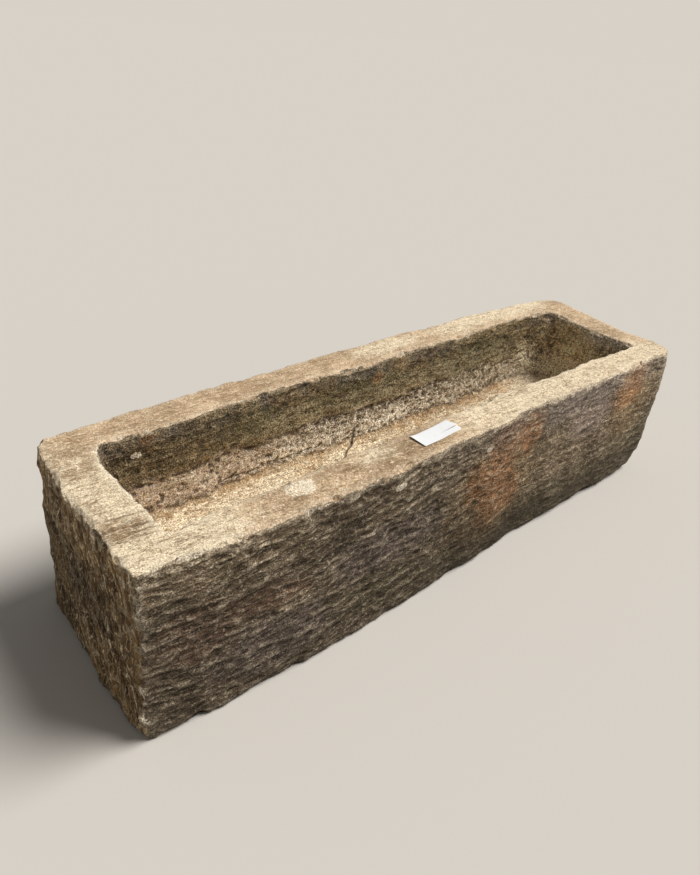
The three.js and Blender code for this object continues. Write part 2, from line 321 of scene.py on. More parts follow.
# Its torn end: shares of the width, and how long the sheet is there as a share of its length
TORN_AT = (0.0, 0.04, 0.34, 0.375, 0.4, 0.53, 0.66, 0.83, 0.9, 1.0)
TORN_LENGTH = (0.93, 0.97, 0.99, 0.965, 0.995, 1.0, 0.975, 0.95, 0.965, 0.957)


def unit(vector):
    """A vector of length one."""
    return np.array(vector, float) / np.linalg.norm(vector)


def smooth(values, low, high):
    """Rises smoothly from 0 at low to 1 at high."""
    share = np.clip((values - low) / (high - low), 0, 1)
    return share * share * (3 - 2 * share)


def bump_at(values, middle, reach):
    """1 at the middle, falling smoothly to 0 at the reach on both sides."""
    return 1 - smooth(np.abs(values - middle), 0, reach)


def lattice_number(cells, seed):
    """A number from 0 to 1 for each lattice cell, the same in every run."""
    mask = 0xFFFFFFFF
    primes = (0x9E3779B1, 0x85EBCA77, 0xC2B2AE3D)
    mixed = np.full(len(cells), (seed * 0x27D4EB2F + 0x165667B1) & mask, np.int64)
    for axis in range(cells.shape[1]):
        mixed = ((mixed ^ (cells[:, axis] & mask)) * primes[axis]) & mask
        mixed ^= mixed >> 15
    mixed = (mixed * 0x2C1B3C6D) & mask
    mixed ^= mixed >> 13
    return (mixed & 0xFFFFFF) / 0xFFFFFF


def waves(points, seed):
    """Smooth gradient noise from about -1 to 1, with features one unit wide."""
    points = np.stack(points, 1) if isinstance(points, tuple) else points
    cell = np.floor(points).astype(np.int64)
    part = points - cell
    fade = part**3 * (part * (part * 6 - 15) + 10)
    total = np.zeros(len(points))
    for corner in product((0, 1), repeat=points.shape[1]):
        corner = np.array(corner)
        at = cell + corner
        offset = part - corner
        turn = 2 * np.pi * lattice_number(at, seed)
        if points.shape[1] == 3:
            rise = 2 * lattice_number(at, seed + 977) - 1
            flat = np.sqrt(1 - rise**2)
            slope = flat * (np.cos(turn) * offset[:, 0] + np.sin(turn) * offset[:, 1])
            slope += rise * offset[:, 2]
        else:
            slope = np.cos(turn) * offset[:, 0] + np.sin(turn) * offset[:, 1]
        total += slope * np.where(corner, fade, 1 - fade).prod(1)
    return total * 1.6


def layers(points, seed, octaves=4, gain=0.55):
    """Gradient noise in several sizes, each half as wide as the last."""
    points = np.stack(points, 1) if isinstance(points, tuple) else points
    total, weight, height = 0.0, 0.0, 1.0
    for octave in range(octaves):
        total = total + height * waves(points * 2.0**octave, seed + octave)
        weight += height
        height *= gain
    return total / weight


def marks(across, up, seed):
    """Cells like overlapping tool marks: how far each point is from its cell's middle, its place
    in its cell, and a number for the cell."""
    points = np.stack((across, up), 1)
    cell = np.floor(points).astype(np.int64)
    near = np.full(len(points), FAR_AWAY)
    inside = np.zeros_like(points)
    number = np.zeros(len(points))
    for step in product((-1, 0, 1), repeat=2):
        at = cell + np.array(step)
        jitter = np.stack((lattice_number(at, seed), lattice_number(at, seed + 31)), 1)
        away = points - at - (0.1 + 0.8 * jitter)
        distance = np.hypot(away[:, 0], away[:, 1])
        closer = distance < near
        near = np.where(closer, distance, near)
        inside[closer] = away[closer]
        number[closer] = lattice_number(at[closer], seed + 57)
    return near, inside, number


def scallops(across, up, wide, tall, dish, tilt, seed):
    """The depth of tool marks of one size: dished hollows whose upper edge lies deeper."""
    near, inside, number = marks(across / wide, up / tall, seed)
    hollow = dish * (0.5 + number) * (1 - np.minimum(near / 0.75, 1) ** 2)
    return -hollow - tilt * (0.4 + number) * inside[:, 1]


def pits(across, up, size, depth, share, seed):
    """Small deep holes in some of the cells."""
    near, _, number = marks(across / size, up / size, seed)
    return -depth * (number < share) * (1 - smooth(near, 0.12, 0.42))


def placed(name, data):
    """A new object in the scene."""
    thing = bpy.data.objects.new(name, data)
    bpy.context.scene.collection.objects.link(thing)
    return thing


def make_camera():
    """The photograph's camera."""
    data = bpy.data.cameras.new("camera")
    data.sensor_width = SENSOR
    data.lens = FOCAL_PX / PHOTO_HEIGHT_PX * SENSOR
    ahead = Vector((
        math.sin(CAMERA_YAW) * math.cos(CAMERA_PITCH),
        math.cos(CAMERA_YAW) * math.cos(CAMERA_PITCH),
        -math.sin(CAMERA_PITCH),
    ))
    right = Vector((math.cos(CAMERA_YAW), -math.sin(CAMERA_YAW), 0))
    above = right.cross(ahead)
    turn, lift = math.cos(CAMERA_ROLL), math.sin(CAMERA_ROLL)
    side = right * turn + above * lift
    above = above * turn - right * lift
    camera = placed("camera", data)
    axes = Matrix((side, above, -ahead)).transposed().to_4x4()
    camera.matrix_world = Matrix.Translation(CAMERA_PLACE) @ axes
    bpy.context.scene.camera = camera


class Graph:
    """Short ways to add the nodes of a material, or of the sky, and join them."""

    def __init__(self, owner):
        self.owner = owner
        owner.use_nodes = True
        self.tree = owner.node_tree
        self.tree.nodes.clear()
        self.tone = {}

    def add(self, kind, values=None, **settings):
        node = self.tree.nodes.new(kind)
        for name, value in settings.items():
            setattr(node, name, value)
        for name, value in (values or {}).items():
            self.put(node.inputs[name], value)
        return node

    def put(self, socket, value):
        if isinstance(value, bpy.types.NodeSocket):
            self.tree.links.new(value, socket)
        elif socket.type == "RGBA" and len(value) == 3:
            socket.default_value = (*value, 1)
        else:
            socket.default_value = value

    def mask(self, name):
        """A mesh attribute, from 0 to 1."""
        return self.add("ShaderNodeAttribute", attribute_name=name).outputs["Fac"]

    def sum(self, operation, first, second=0.0, third=0.0):
        values = {0: first, 1: second, 2: third}
        return self.add("ShaderNodeMath", values, operation=operation).outputs["Value"]

    def spread(self, size, turn=0.0):
        """Object coordinates in features of this size, which may differ along each axis."""
        size = (size,) * 3 if isinstance(size, float) else size
        place = self.add("ShaderNodeTexCoord").outputs["Object"]
        for values in {"Rotation": (turn,) * 3}, {"Scale": tuple(1 / s for s in size)}:
            place = self.add("ShaderNodeMapping", {"Vector": place, **values}).outputs["Vector"]
        return place

    def noise(self, size, detail, rough, bend=0.0, turn=0.0):
        values = {"Vector": self.spread(size, turn), "Scale": 1.0, "Detail": detail}
        values |= {"Roughness": rough, "Distortion": bend}
        return self.add("ShaderNodeTexNoise", values).outputs["Fac"]

    def cells(self, size, bend, feature="F1"):
        """How far each point is from the middle, or from the edge, of its cell with wavy sides."""
        place = self.spread(size)
        values = {"Vector": place, "Scale": 1.3, "Detail": 3.0, "Roughness": 0.6}
        shift = self.add("ShaderNodeTexNoise", values).outputs["Color"]
        values = {0: shift, 1: (bend,) * 3, 2: place}
        bent = self.add("ShaderNodeVectorMath", values, operation="MULTIPLY_ADD")
        values = {"Vector": bent.outputs["Vector"], "Scale": 1.0}
        return self.add("ShaderNodeTexVoronoi", values, feature=feature).outputs["Distance"]

    def times(self, *values):
        """The product of several numbers."""
        product = values[0]
        for value in values[1:]:
            product = self.sum("MULTIPLY", product, value)
        return product

    def share_of(self, place):
        """How far a place reaches: a mask by its name, a tone as it rises between two values, the
        lines of a width along a tone's middle, or a number or socket as it is."""
        if isinstance(place, str):
            return self.mask(place)
        if isinstance(place, tuple):
            name, *limits = place
            rises = self.step if len(limits) == 2 else self.lines
            return rises(self.tone[name], *limits)
        return place

    def scaled(self, place, factor, plus):
        """A place's share times a factor, plus a number."""
        return self.sum("MULTIPLY_ADD", self.share_of(place), factor, plus)

    def step(self, place, low, high):
        """Rises smoothly from 0 at low to 1 at high. Low may be the larger."""
        turned = low > high
        values = {"From Min": min(low, high), "From Max": max(low, high)}
        values["Value"] = self.share_of(place)
        values |= {"To Min": float(turned), "To Max": float(not turned)}
        node = self.add("ShaderNodeMapRange", values, interpolation_type="SMOOTHSTEP")
        return node.outputs["Result"]

    def blend(self, place, first, second, mode="MIX"):
        """From the first colour to the second by a place's share."""
        values = {0: self.share_of(place), 6: first, 7: second}
        return self.add("ShaderNodeMix", values, data_type="RGBA", blend_type=mode).outputs[2]

    def coat(self, colour, *coats):
        """Lays coats over a colour: each has its colour, its strength, and where it lies."""
        for second, strength, *places in coats:
            shares = [self.share_of(place) for place in places]
            colour = self.blend(self.times(*shares, strength), colour, second)
        return colour

    def contrast(self, value, amount):
        """A factor round 1, from 0.2 to 2.2, from a noise round 0.5."""
        factor = self.scaled(value, amount, 1 - amount / 2)
        return self.sum("MINIMUM", self.sum("MAXIMUM", factor, 0.2), 2.2)

    def lines(self, value, width):
        """1 on thin lines where a noise crosses its middle."""
        away = self.sum("ABSOLUTE", self.sum("SUBTRACT", value, 0.5))
        return self.step(away, width, 0.0)

    def rest(self, place):
        """What a place's share leaves of 1."""
        return self.sum("SUBTRACT", 1.0, self.share_of(place))

    def brighten(self, colour, factor):
        """The colour with its brightness times a factor."""
        values = {"Color": colour, "Value": factor}
        return self.add("ShaderNodeHueSaturation", values).outputs["Color"]

    def bump(self, height, depth, below=None):
        values = {"Height": height, "Distance": depth, "Strength": 1.0}
        if below is not None:
            values["Normal"] = below
        return self.add("ShaderNodeBump", values).outputs["Normal"]

    def cover(self, kind, values):
        """Gives the material a surface of one kind, and returns it."""
        surface = self.add(kind, values).outputs["BSDF"]
        self.add("ShaderNodeOutputMaterial", {"Surface": surface})
        return self.owner

    def finish(self, colour, roughness, normal):
        """Gives the material a matt surface, and returns it."""
        values = {"Base Color": colour, "Roughness": roughness, "Normal": normal}
        values["Specular IOR Level"] = 0.3
        return self.cover("ShaderNodeBsdfPrincipled", values)


def make_ground():
    """A wide pale floor, which looks plain to the camera and keeps the shadow."""
    reach = 60.0
    mesh = bpy.data.meshes.new("ground")
    corners = [(-reach, -reach, 0), (reach, -reach, 0), (reach, reach, 0), (-reach, reach, 0)]
    mesh.from_pydata(corners, [], [(0, 1, 2, 3)])
    ground = placed("ground", mesh)
    graph = Graph(bpy.data.materials.new("ground"))
    ray = graph.add("ShaderNodeLightPath").outputs
    seen = graph.sum("MAXIMUM", ray["Is Camera Ray"], ray["Is Glossy Ray"])
    seen = graph.sum("MAXIMUM", seen, ray["Is Transmission Ray"])
    colour = graph.blend(seen, GROUND_BOUNCE, GROUND_COLOUR)
    mesh.materials.append(graph.cover("ShaderNodeBsdfDiffuse", {"Color": colour}))


def make_light():
    """An even sky and one broad soft lamp, high up on the right."""
    world = bpy.data.worlds.new("sky")
    bpy.context.scene.world = world
    graph = Graph(world)
    ray = graph.add("ShaderNodeLightPath").outputs["Is Camera Ray"]
    plain = graph.add("ShaderNodeBackground", {"Strength": SKY_STRENGTH}).outputs[0]
    seen = graph.add("ShaderNodeBackground", {"Color": BACKDROP_COLOUR}).outputs[0]
    either = graph.add("ShaderNodeMixShader", {0: ray, 1: plain, 2: seen})
    graph.add("ShaderNodeOutputWorld", {"Surface": either.outputs[0]})
    lamp = bpy.data.lights.new("softbox", "SUN")
    lamp.energy = SUN_STRENGTH
    lamp.angle = SUN_SOFTNESS
    holder = placed("softbox", lamp)
    holder.rotation_euler = Vector(SUN_FROM).to_track_quat("Z", "Y").to_euler()


def read(items, what, width=1, kind=np.int32):
    """One number, or one row of numbers, for each of a mesh's items."""
    flat = np.empty(len(items) * width, kind)
    items.foreach_get(what, flat)
    return flat.reshape(-1, width) if width > 1 else flat


def read_points(mesh):
    return read(mesh.vertices, "co", 3, np.float32).astype(float)


def read_normals(mesh):
    return read(mesh.vertex_normals, "vector", 3, np.float32).astype(float)


def write_points(mesh, points):
    mesh.vertices.foreach_set("co", points.astype(np.float32).ravel())
    mesh.update()


def read_edges(mesh):
    return read(mesh.edges, "vertices", 2)


def neighbour_mean(values, edges):
    """Each point's mean over the points that share an edge with it."""
    count = np.bincount(edges.ravel(), minlength=len(values))
    columns = values.reshape(len(values), -1).T
    means = []
    for column in columns:
        total = np.bincount(edges[:, 0], column[edges[:, 1]], len(values))
        total += np.bincount(edges[:, 1], column[edges[:, 0]], len(values))
        means.append(total / count)
    return np.stack(means, 1).reshape(values.shape)


def smoothed(values, edges, rounds):
    """The values after several rounds of taking each point's neighbours' mean."""
    for _ in range(rounds):
        values = neighbour_mean(values, edges)
    return values


def fine_copy(node, name):
    """A fine even mesh over a CAD node, with its facets smoothed away."""
    piece = placed(name, node.data.copy())
    remesh = piece.modifiers.new("even", "REMESH")
    remesh.mode = "VOXEL"
    remesh.voxel_size = VOXEL
    graph = bpy.context.evaluated_depsgraph_get()
    mesh = bpy.data.meshes.new_from_object(piece.evaluated_get(graph))
    piece.modifiers.clear()
    piece.data = mesh
    mesh.materials.clear()
    points, edges = read_points(mesh), read_edges(mesh)
    for _ in range(FACET_SMOOTHING):
        points = 0.5 * points + 0.5 * neighbour_mean(points, edges)
    write_points(mesh, points)
    return piece


def sides_of(points, normals):
    """How much each point belongs to each face of the block, as shares that sum to 1."""
    x, y, z = points.T
    share = normals**2
    left, front, down = normals.T < 0
    return {
        "front": share[:, 1] * (front & (y < 0)),
        "back": share[:, 1] * (~front & (y > 0)),
        "left": share[:, 0] * (left & (x < 0)),
        "right": share[:, 0] * (~left & (x > 0)),
        "inner_back": share[:, 1] * (front & (y > 0)),
        "inner_front": share[:, 1] * (~front & (y < 0)),
        "inner_right": share[:, 0] * (left & (x > 0)),
        "inner_left": share[:, 0] * (~left & (x < 0)),
        "rim": share[:, 2] * (~down & (z > (TOP + FLOOR) / 2)),
        "floor": share[:, 2] * (~down & (z <= (TOP + FLOOR) / 2)),
        "under": share[:, 2] * down,
    }


def ridges(points, seed, octaves=4):
    """Noise with sharp crests and smooth hollows, from about -1 to 1."""
    return 1 - 4 * np.abs(layers(points, seed, octaves, 0.6))


def ledges(up, pitch, height):
    """Worn layers: the stone leans back slowly on its way up, then juts out again."""
    share = up / pitch - np.floor(up / pitch)
    return height * (1 - share) * smooth(share, 0, 0.22)


def flaked_face(across, up, seed, calm):
    """The long outer faces: low, wide flakes left by the chisel, and worn layers."""
    across = across + 24 * MM * waves((across / 0.1, up / 0.07), seed)
    up = up + 14 * MM * waves((across / 0.11, up / 0.08), seed + 1)
    up = up + 5 * MM * layers((across / 0.035, up / 0.03), seed + 2, 3)
    depth = scallops(across, up, 0.044, 0.022, 2.1 * MM, 1.3 * MM, seed + 3)
    depth += scallops(across, up, 0.021, 0.0115, 1.2 * MM, 0.8 * MM, seed + 4)
    there = smooth(layers((across / 0.09, up / 0.03), seed + 6), -0.25, 0.25)
    depth += ledges(up, 0.031, 2.3 * MM) * there
    depth += ledges(up + 6 * MM, 0.0135, 1.3 * MM) * (1 - 0.6 * there)
    depth = depth * calm + 0.6 * MM * layers((across / 0.012, up / 0.007), seed + 8, 2)
    return depth + 0.8 * MM * waves((across / 0.33, up / 0.15), seed + 7) + 1.2 * MM


def pecked_end(across, up, seed):
    """The outer ends: steep pecking strokes, slanting a little."""
    slant = math.radians(14)
    along = up * math.cos(slant) + across * math.sin(slant)
    beside = across * math.cos(slant) - up * math.sin(slant)
    beside = beside + 7 * MM * waves((beside / 0.05, along / 0.12), seed)
    along = along + 15 * MM * waves((beside / 0.08, along / 0.1), seed + 1)
    depth = scallops(beside, along, 0.026, 0.06, 3.2 * MM, 2.0 * MM, seed + 2)
    depth += scallops(beside, along, 0.011, 0.027, 1.7 * MM, 1.2 * MM, seed + 3)
    depth += 0.9 * MM * ridges((beside / 0.014, along / 0.045), seed + 4, 3)
    depth += 0.5 * MM * layers((beside / 0.007, along / 0.014), seed + 6, 2)
    return depth + 1.0 * MM * waves((across / 0.2, up / 0.2), seed + 5) + 2.0 * MM


def pitted_line(along):
    """How high the strongly pitted part of the cavity's walls reaches."""
    return PITTED_TOP + 20 * MM * layers((along / 0.14, along * 0), 1420, 4, 0.6)


def cavity_wall(across, up, seed):
    """The cavity's walls: shallow marks above, and below a ledge strongly pitted."""
    line = pitted_line(across)
    across = across + 12 * MM * waves((across / 0.08, up / 0.06), seed)
    up = up + 5 * MM * waves((across / 0.07, up / 0.04), seed + 1)
    above = scallops(across, up, 0.05, 0.02, 1.8 * MM, 1.4 * MM, seed + 2)
    above += 1.0 * MM * ridges((across / 0.022, up / 0.012), seed + 3, 3)
    above += 0.7 * MM * layers((across / 0.01, up / 0.006), seed + 9, 2)
    loose = across + 7 * MM * layers((across / 0.016, up / 0.014), seed + 10, 3)
    stray = up + 6 * MM * layers((across / 0.014, up / 0.012), seed + 11, 3)
    below = scallops(loose, stray, 0.026, 0.01, 1.5 * MM, 1.0 * MM, seed + 4)
    below += 1.5 * MM * layers((across / 0.011, up / 0.007), seed + 6, 3)
    below *= 0.45 + 0.75 * smooth(across, *ROUGH_FROM)
    below += pits(loose, stray * 1.3, 0.019, 3.2 * MM, 0.32, seed + 5)
    below += pits(loose, stray * 1.4, 0.01, 1.8 * MM, 0.25, seed + 12)
    above += PITTED_STEP
    low = 1 - smooth(up, line - 6 * MM, line + 6 * MM)
    broad = 0.9 * MM * waves((across / 0.22, up / 0.12), seed + 8)
    return above * (1 - low) + below * low + broad


def cavity_end(across, up, seed):
    """The cavity's ends: upright tooling strokes."""
    across = across + 6 * MM * waves((across / 0.05, up / 0.09), seed)
    depth = scallops(across, up, 0.017, 0.06, 2.0 * MM, 0.8 * MM, seed + 1)
    depth += 1.2 * MM * layers((across / 0.012, up / 0.022), seed + 2, 3)
    return depth + 0.8 * MM * waves((across / 0.12, up / 0.12), seed + 3) + 1.0 * MM


def worn_top(x, y, seed):
    """The rim and the cavity's floor: worn, with a faint torn grain along the block."""
    depth = 1.2 * MM * layers((x / 0.09, y / 0.06), seed, 3)
    depth += 0.45 * MM * ridges((x / 0.07, (y - 0.1 * x) / 0.013), seed + 1, 4)
    return depth + 0.6 * MM * layers((x / 0.012, y / 0.009), seed + 3, 3)


def bedding_streaks(x, y):
    """Thin grooves along the block on its left rim, near the front."""
    grooves = smooth(layers((x / 0.11, (y + 0.12 * x) / 0.0075), 940, 2), 0.12, 0.42)
    place = (1 - smooth(x, -0.745, -0.66)) * bump_at(y, -0.115, 0.1)
    return grooves * place


RELIEFS = {
    "front": lambda x, y, z: flaked_face(x, z, 100, 1 - 0.45 * smooth(x, -0.1, 0.25)),
    "back": lambda x, y, z: flaked_face(-x, z, 200, 1),
    "left": lambda x, y, z: pecked_end(y, z, 300),
    "right": lambda x, y, z: pecked_end(y, z, 400),
    "inner_back": lambda x, y, z: cavity_wall(x, z, 500),
    "inner_front": lambda x, y, z: cavity_wall(x, z, 600),
    "inner_left": lambda x, y, z: cavity_end(y, z, 700),
    "inner_right": lambda x, y, z: cavity_end(y, z, 800),
    "rim": lambda x, y, z: worn_top(x, y, 900) - STREAK_DEPTH * bedding_streaks(x, y),
    "floor": lambda x, y, z: 1.5 * worn_top(x, y, 950),
}


def relief_of(points, sides):
    """How far each point moves along its normal, from the faces that it belongs to."""
    total = np.zeros(len(points))
    for name, relief in RELIEFS.items():
        near = np.flatnonzero(sides[name] > LEAST_SHARE)
        total[near] += sides[name][near] * relief(*points[near].T)
    return total


def chips(points, normals, random):
    """Chooses chips along the edges: each one's middle, radius, run, stretch and freshness."""
    z, rising = points[:, 2], normals[:, 2]
    level = np.minimum(abs(normals[:, 0]), abs(normals[:, 1]))
    edges = {
        "upper": (rising > 0.5) & (rising < 0.87) & (z > NEAR_TOP),
        "lower": (rising < -0.45) & (rising > -0.9) & (z < NEAR_FOOT),
        "upright": (level > 0.5) & (abs(rising) < 0.3) & (z > NEAR_FOOT) & (z < NEAR_TOP),
    }
    for name, (count, least, most) in CHIPS.items():
        for index in random.choice(np.flatnonzero(edges[name]), count, replace=False):
            radius = random.uniform(least, most) * MM
            stretch = random.uniform(1.0, 3.2)
            run = unit(np.cross(normals[index], (0, 0, 1)))
            if abs(rising[index]) < 0.3:
                run = np.array((0.0, 0.0, 1.0))
            middle = points[index] + normals[index] * radius * random.uniform(0.55, 0.85)
            pale = 0.8 * random.uniform(0, 1) ** 3
            if np.linalg.norm((middle - TAG_MIDDLE)[:2]) >= TAG_CHIP_FREE:
                yield middle, radius, run, stretch, pale


def bites(points, normals, seed):
    """Moves points out of chips along the edges. Returns where fresh stone shows, from 0 to 1."""
    rough = 1 + 0.4 * layers(points / 0.011, seed + 1, 3, 0.7)
    moved = points.copy()
    fresh = np.zeros(len(points))
    random = np.random.default_rng(seed)
    for middle, radius, run, stretch, pale in chips(points, normals, random):
        close = np.flatnonzero((abs(moved - middle) < 1.5 * radius * stretch).all(1))
        away = moved[close] - middle
        away -= np.outer((away @ run) * (1 - 1 / stretch), run)
        distance = np.linalg.norm(away, axis=1) * rough[close]
        inside = distance < radius
        close, away, distance = close[inside], away[inside], distance[inside]
        push = away * (radius / np.maximum(distance, radius / 4) - 1)[:, None]
        push += np.outer((push @ run) * (stretch - 1), run)
        inward = -(push * normals[close]).sum(1)
        size = np.maximum(np.linalg.norm(push, axis=1), 1e-9)
        kept = smooth(inward / size, 0, 0.5) * np.minimum(1, DEEPEST_CHIP / size)
        moved[close] += push * kept[:, None]
        fresh[close] = np.maximum(fresh[close], pale * smooth(radius - distance, 0, 3 * MM))
    return moved, fresh


def near_path(points, path):
    """The distance from each point to a line through the path's points, seen from above."""
    nearest = np.full(len(points), FAR_AWAY)
    for (ax, ay), (bx, by) in zip(path, path[1:]):
        run = np.array((bx - ax, by - ay))
        from_start = points[:, :2] - (ax, ay)
        share = np.clip(from_start @ run / (run @ run), 0, 1)
        nearest = np.minimum(nearest, np.linalg.norm(from_start - np.outer(share, run), axis=1))
    return nearest


def ragged_patch(points, middle, reach, seed, raggedness=0.45):
    """1 round a middle point, falling to 0 at about the reach along each axis, with a torn edge."""
    away = (points - np.array(middle)) / np.array(reach)
    near = np.flatnonzero((abs(away) < 1.6).all(1))
    share = np.zeros(len(points))
    distance = np.linalg.norm(away[near], axis=1)
    distance += raggedness * layers(points[near] / 0.028, seed, 4, 0.65)
    share[near] = 1 - smooth(distance, 0.45, 1.05)
    return share


def edge_wear(points, sides):
    """Stone lost along the edges, where two faces of the block meet."""
    shares = np.stack(list(sides.values()))
    edge = 1 - (shares**2).sum(0) / np.maximum(shares.sum(0), 1e-6) ** 2
    near = np.flatnonzero(edge > 0.05)
    worn = np.zeros(len(points))
    rough = layers(points[near] / 0.04, 1000, 5, 0.8)
    worn[near] = -EDGE_WEAR * edge[near] * smooth(rough, -0.05, 0.35)
    return worn


def wall_grooves(points, sides):
    """Two dark grooves along the foot of the cavity's back wall."""
    x, y, z = points.T
    depth = np.zeros(len(points))
    for (start, end), (middle_y, middle_z), (reach, deep) in GROOVES:
        window = smooth(x, start, start + 40 * MM) * (1 - smooth(x, end - 40 * MM, end))
        near = np.flatnonzero((window > 0) & (abs(z - middle_z) < 25 * MM) & (y > 60 * MM))
        part = points[near]
        wander = 5 * MM * layers((part[:, 0] / 0.07, part[:, 0] * 0), 1100, 3)
        along_wall = 0.0 if middle_y is None else part[:, 1] - middle_y
        distance = np.hypot(part[:, 2] - middle_z - wander, along_wall)
        width = reach * (0.55 + 1.6 * layers((part[:, 0] / 0.025, part[:, 0] * 0), 1110, 3))
        depth[near] -= deep * window[near] * bump_at(distance / np.maximum(width, 0.5 * MM), 0, 1)
    return depth


def hew(mesh):
    """Gives the fine mesh its tool marks, chips, grooves and crack. Returns where it is chipped."""
    points, edges = read_points(mesh), read_edges(mesh)
    normals = smoothed(read_normals(mesh), edges, 2)
    normals /= np.linalg.norm(normals, axis=1)[:, None]
    sides = sides_of(points, normals)
    depth = relief_of(points, sides) + edge_wear(points, sides) + wall_grooves(points, sides)
    depth += 0.7 * MM * layers(points / 0.013, 1200, 3)
    from_tag = np.linalg.norm((points - TAG_MIDDLE) / TAG_CALM, axis=1)
    depth *= smooth(from_tag, 0.75, 1.25)
    points = points + normals * depth[:, None]
    points, fresh = bites(points, normals, 11)
    points = 0.7 * points + 0.3 * neighbour_mean(points, edges)
    from_crack = near_path(points, list(zip(CRACK_X, CRACK_Y)))
    from_crack += 2 * MM * layers(points / 0.02, 1300, 3)
    crack = bump_at(from_crack, 0, CRACK_WIDTH) * (points[:, 2] < FLOOR + CRACK_RISE)
    points[:, 2] -= CRACK_DEPTH * crack * smooth(sides["floor"], 0.3, 0.7)
    points[:, 2] = np.maximum(points[:, 2], 0)
    points[sides["under"] > 0.6, 2] = 0
    write_points(mesh, points)
    return fresh, crack


class Surface:
    """The stone's points, with the directions and the noises that its masks share."""

    def __init__(self, mesh):
        points, edges = read_points(mesh), read_edges(mesh)
        normals = read_normals(mesh)
        close = smoothed(points, edges, 10)
        wide = smoothed(close, edges, 50)
        self.points = points
        self.x, self.y, self.z = points.T
        self.facing_front = -normals[:, 1]
        self.inward = ((close - points) * normals).sum(1)
        self.broad = ((wide - points) * normals).sum(1)
        self.along, _, self.rise = smoothed(normals, edges, 6).T
        self.rough = layers(points / 0.03, 1400, 4, 0.65)
        self.rougher = layers(points / 0.12, 1410, 4, 0.6)
        self.fine = layers(points / 0.008, 1450, 3, 0.8)
        level = self.rise + 0.22 * self.rough + 0.12 * self.fine
        self.top = smooth(level, 0.46, 0.7) * (self.z > TOP - 45 * MM)
        inside = (points > CAVITY_LOW) & (points < CAVITY_HIGH)
        self.within = inside[:, 0] & inside[:, 1]
        self.outside = ~self.within
        self.cavity = self.within & (self.z > FLOOR - 20 * MM)


def face_masks(at):
    """Which kind of face each point lies on, and how hollow or proud it is."""
    floor = smooth(at.rise + 0.25 * at.rough, 0.35, 0.75)
    floor *= 1 - smooth(at.z + 14 * MM * at.rougher, FLOOR + 12 * MM, FLOOR + 34 * MM)
    return {
        # The material paints shade in the hollows and highlight on the crests
        "hollow": smooth(at.inward + 0.35 * at.broad, 0.2 * MM, 1.7 * MM),
        "crest": smooth(-at.inward - 0.25 * at.broad, 0.15 * MM, 1.5 * MM),
        "top": at.top,
        "floor": floor * at.cavity,
        "cavity": at.cavity * (1 - at.top),
        "end": smooth(abs(at.along), 0.45, 0.8) * at.outside,
    }


def cavity_masks(at):
    """The damp and the pitted parts of the cavity, the dark line painted as shade under its ledge,
    where it is paler near the floor, and the light painted at its far end.
    """
    x, y, z = at.x, at.y, at.z
    line = pitted_line(x)
    damp = smooth(z + 10 * MM * at.rough, line - 12 * MM, line + 8 * MM)
    # A dark line, painted as the shade under the ledge where the walls turn pitted
    ledge = bump_at(z + 9 * MM * at.fine, line - 4 * MM, 9 * MM) * smooth(at.rough, -0.25, 0.1)
    far_end = smooth(x, 0.42, 0.58) * smooth(z, FLOOR + 25 * MM, FLOOR + 60 * MM)
    farther = 0.45 * smooth(x + 60 * MM * at.rougher, 0.05, 0.45)
    warm = (1 - smooth(z + 10 * MM * at.rough, 0.318, 0.35)) * smooth(x, -0.45, -0.25)
    dusty = (1 - smooth(z, 0.225, 0.262)) * smooth(x, -0.42, -0.27) * at.within
    dusty *= 0.7 + 0.3 * bump_at(x, 0.02, 0.2) - 0.5 * bump_at(x, 0.42, 0.17)
    near_lip = (x > -0.74) & (x < -0.6) & (abs(y) < 0.14) & (z > TOP - 22 * MM)
    # Painted light: the far end, facing in, and low near the far corner, is made paler
    low_share = (0.2 + 0.7 * smooth(x, 0.53, 0.62)) * (1 - smooth(z, 0.27, 0.32))
    facing_in = np.maximum(smooth(-at.along, 0.25, 0.75), low_share)
    far = smooth(x + 60 * MM * at.rougher, -0.1, 0.35)
    return {
        "damp": at.cavity * np.maximum(np.maximum(damp, farther), 0.85 * far_end),
        "ledge": at.cavity * ledge * (1 - smooth(x, 0.1, 0.4)),
        "rooty": smooth(x + 60 * MM * at.rougher, *ROUGH_FROM) * at.within,
        "warm": warm * (1 - smooth(x, 0.46, 0.56)) * at.within,
        "dusty": dusty,
        "lip": bump_at(at.rise + 0.2 * at.fine, 0.66, 0.3) * near_lip,
        "lit": smooth(x, 0.42, 0.6) * facing_in * at.within,
        "dim": 0.4 * far * (1 - smooth(x, 0.42, 0.56)),
        "far": far,
    }


def brightness(at):
    """How much brighter than the rest each part of the outer walls is."""
    x, z = at.x, at.z
    left_top = smooth(z + 40 * MM * at.rougher, 0.24, 0.34) * (1 - smooth(x, -0.6, -0.35))
    lifted = smooth(z + 20 * MM * at.rougher, 0.05, 0.2)
    right_part = smooth(x, -0.05, 0.32) * lifted
    right_part *= 1 - 0.65 * smooth(x, 0.62, 0.78) * (1 - smooth(z, 0.2, 0.28))
    upper_part = 0.5 * smooth(z, 0.22, 0.33) * bump_at(x, -0.1, 0.32)
    low_end = 0.55 * smooth(abs(at.along), 0.45, 0.8) * (1 - smooth(z + 0.5 * at.y, 0.02, 0.24))
    bright = np.maximum(np.maximum(0.7 * left_top, right_part + upper_part), low_end)
    wander = x + 40 * MM * at.rougher
    for (at_x, at_z), (reach_x, reach_z), much in SHADES:
        spot = bump_at(wander, at_x, reach_x) * bump_at(z, at_z, reach_z)
        bright = bright + much * spot * (at.y < 0)
    return bright * at.outside


